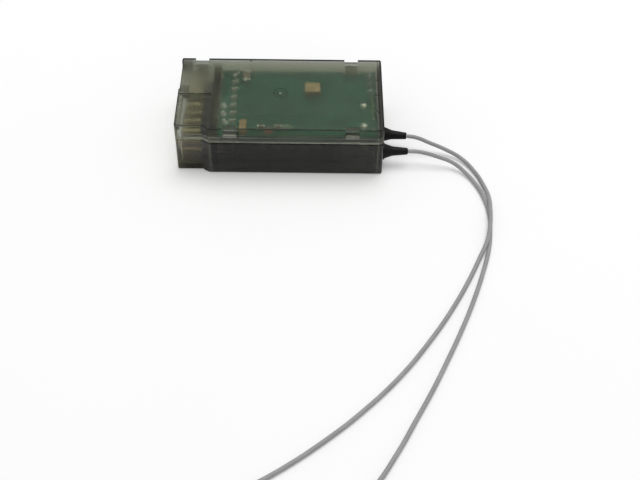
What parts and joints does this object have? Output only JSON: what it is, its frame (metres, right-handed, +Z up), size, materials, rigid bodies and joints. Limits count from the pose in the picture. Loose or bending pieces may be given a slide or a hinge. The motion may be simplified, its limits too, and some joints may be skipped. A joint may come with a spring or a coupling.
{
  "type": "radio control receiver",
  "caption": "Small radio control receiver in a smoky snap-together case, with an open bay of servo pins at one end and coaxial antennas out of the other.",
  "frame": {"origin": "centre of the case's footprint, on the underside of the base", "axes": "+X from the connector bay towards the antennas, along the case; +Y towards the plain back side; +Z up through the lid"},
  "size_m": [0.0767, 0.1163, 0.0122],
  "materials": {
    "smoked_plastic": "smoky translucent plastic, polished",
    "green_laminate": "green solder mask over glass laminate",
    "black_laminate": "black solder mask over glass laminate",
    "black_plastic": "moulded, matt",
    "gold_plate": "plated, satin",
    "tinned_strip": "tinned copper",
    "solder": "reflowed solder, bright",
    "tan_moulding": "moulded epoxy, satin",
    "ceramic": "sintered ceramic",
    "black_ceramic": "glazed film on ceramic",
    "red_lens": "clear red resin",
    "green_lens": "clear green resin",
    "chip_moulding": "moulded epoxy, fine grain",
    "tinned_can": "tinned sheet",
    "grey_jacket": "extruded jacket, satin",
    "black_rubber": "moulded, satin",
    "clear_core": "bare dielectric core"
  },
  "bodies": {
    "root": {"base_shell": "smoked_plastic", "lid": "smoked_plastic", "main_board": "green_laminate", "radio_board": "black_laminate", "header_block": "black_plastic", "link_header": "black_plastic", "signal_pins": "gold_plate", "power_pins": "gold_plate", "ground_pins": "gold_plate", "link_pins": "gold_plate", "power_bus": "tinned_strip", "ground_bus": "tinned_strip", "signal_solder": "solder", "supply_solder": "solder", "link_solder": "solder", "coax_solder_back": "solder", "coax_solder_front": "solder", "tantalum_capacitor": "tan_moulding", "small_tantalum": "tan_moulding", "ceramic_capacitors": "ceramic", "chip_resistors": "black_ceramic", "red_led": "red_lens", "green_led": "green_lens", "processor_chip": "chip_moulding", "voltage_regulator": "chip_moulding", "radio_chip": "chip_moulding", "processor_crystal": "tinned_can", "radio_shield": "tinned_can", "radio_crystal": "tinned_can", "coax_lead_back": "grey_jacket", "coax_lead_front": "grey_jacket", "antenna_cord_back": "grey_jacket", "antenna_cord_front": "grey_jacket", "antenna_boot_back": "black_rubber", "antenna_boot_front": "black_rubber", "antenna_tip_back": "clear_core", "antenna_tip_front": "clear_core"}
  },
  "joints": []
}
